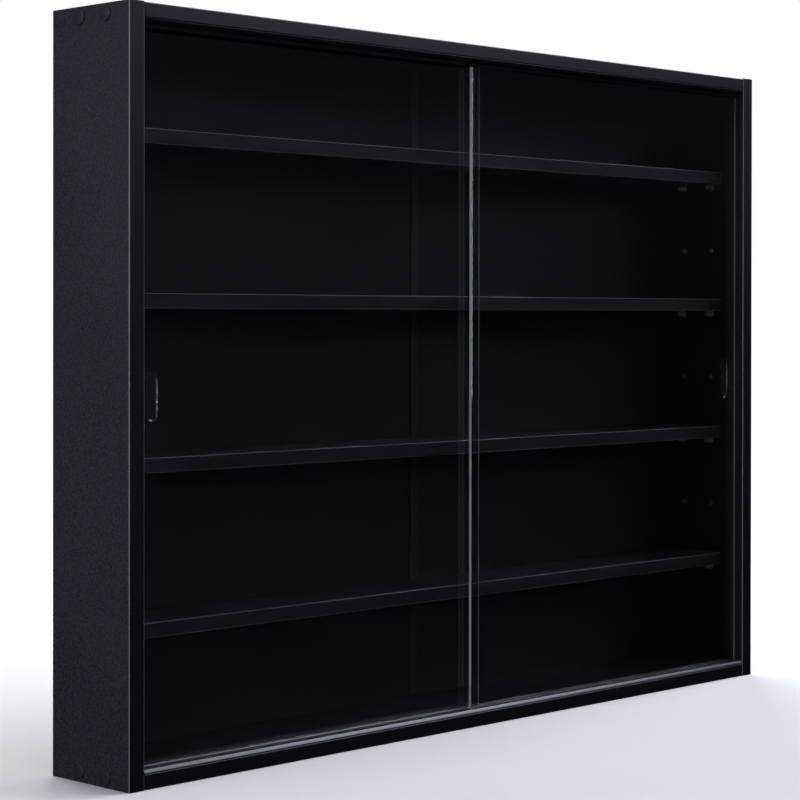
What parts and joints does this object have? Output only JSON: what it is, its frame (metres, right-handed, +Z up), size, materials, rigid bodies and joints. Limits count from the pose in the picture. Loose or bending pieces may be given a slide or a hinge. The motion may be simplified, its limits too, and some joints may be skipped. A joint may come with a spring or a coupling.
{
  "type": "wall display cabinet with sliding glass doors",
  "caption": "Shallow black display cabinet for a wall, with adjustable shelves on pins behind overlapping sliding glass doors.",
  "frame": {"origin": "under the middle of the width and the depth, on the plane that the two side panels stand on", "axes": "+Z up, -Y towards the person who looks in through the doors, +X to that person's right"},
  "size_m": [0.8024, 0.095, 0.6],
  "materials": {
    "black_melamine": "fine-textured black melamine on particle board, satin",
    "black_hardboard": "thin hardboard, black lacquer on the inside, raw brown behind",
    "black_strip": "extruded black plastic",
    "track_plastic": "extruded black plastic, semi-gloss",
    "clear_glass": "clear float glass with polished edges, greenish along the edge",
    "pin_steel": "bright nickel plate",
    "screw_steel": "zinc plate",
    "hanger_steel": "zinc-plated sheet steel",
    "cap_plastic": "moulded black plastic, satin"
  },
  "bodies": {
    "cabinet": {"side_panel_left": "black_melamine", "side_panel_right": "black_melamine", "top_panel": "black_melamine", "bottom_panel": "black_melamine", "back_panel_left": "black_hardboard", "back_panel_right": "black_hardboard", "back_joining_strip": "black_strip", "bottom_track": "track_plastic", "top_track": "track_plastic", "shelf_1": "black_melamine", "shelf_2": "black_melamine", "shelf_3": "black_melamine", "shelf_4": "black_melamine", "shelf_pin_1_left_front": "pin_steel", "shelf_pin_1_left_rear": "pin_steel", "shelf_pin_1_right_front": "pin_steel", "shelf_pin_1_right_rear": "pin_steel", "shelf_pin_2_left_front": "pin_steel", "shelf_pin_2_left_rear": "pin_steel", "shelf_pin_2_right_front": "pin_steel", "shelf_pin_2_right_rear": "pin_steel", "shelf_pin_3_left_front": "pin_steel", "shelf_pin_3_left_rear": "pin_steel", "shelf_pin_3_right_front": "pin_steel", "shelf_pin_3_right_rear": "pin_steel", "shelf_pin_4_left_front": "pin_steel", "shelf_pin_4_left_rear": "pin_steel", "shelf_pin_4_right_front": "pin_steel", "shelf_pin_4_right_rear": "pin_steel", "carcase_screw_bottom_left_front": "screw_steel", "screw_cap_bottom_left_front": "cap_plastic", "carcase_screw_bottom_left_rear": "screw_steel", "screw_cap_bottom_left_rear": "cap_plastic", "carcase_screw_bottom_right_front": "screw_steel", "screw_cap_bottom_right_front": "cap_plastic", "carcase_screw_bottom_right_rear": "screw_steel", "screw_cap_bottom_right_rear": "cap_plastic", "carcase_screw_top_left_front": "screw_steel", "screw_cap_top_left_front": "cap_plastic", "carcase_screw_top_left_rear": "screw_steel", "screw_cap_top_left_rear": "cap_plastic", "carcase_screw_top_right_front": "screw_steel", "screw_cap_top_right_front": "cap_plastic", "carcase_screw_top_right_rear": "screw_steel", "screw_cap_top_right_rear": "cap_plastic", "hanger_plate_left": "hanger_steel", "hanger_screw_left_outer": "screw_steel", "hanger_screw_left_inner": "screw_steel", "hanger_plate_right": "hanger_steel", "hanger_screw_right_outer": "screw_steel", "hanger_screw_right_inner": "screw_steel"},
    "left_door": {"glass_door_left": "clear_glass"},
    "right_door": {"glass_door_right": "clear_glass"}
  },
  "joints": [
    {"name": "left_door_slide", "type": "slide", "parent": "cabinet", "child": "left_door", "axis": [1, 0, 0], "range_m": [0, 0.3769]},
    {"name": "right_door_slide", "type": "slide", "parent": "cabinet", "child": "right_door", "axis": [1, 0, 0], "range_m": [-0.3769, 0]}
  ]
}
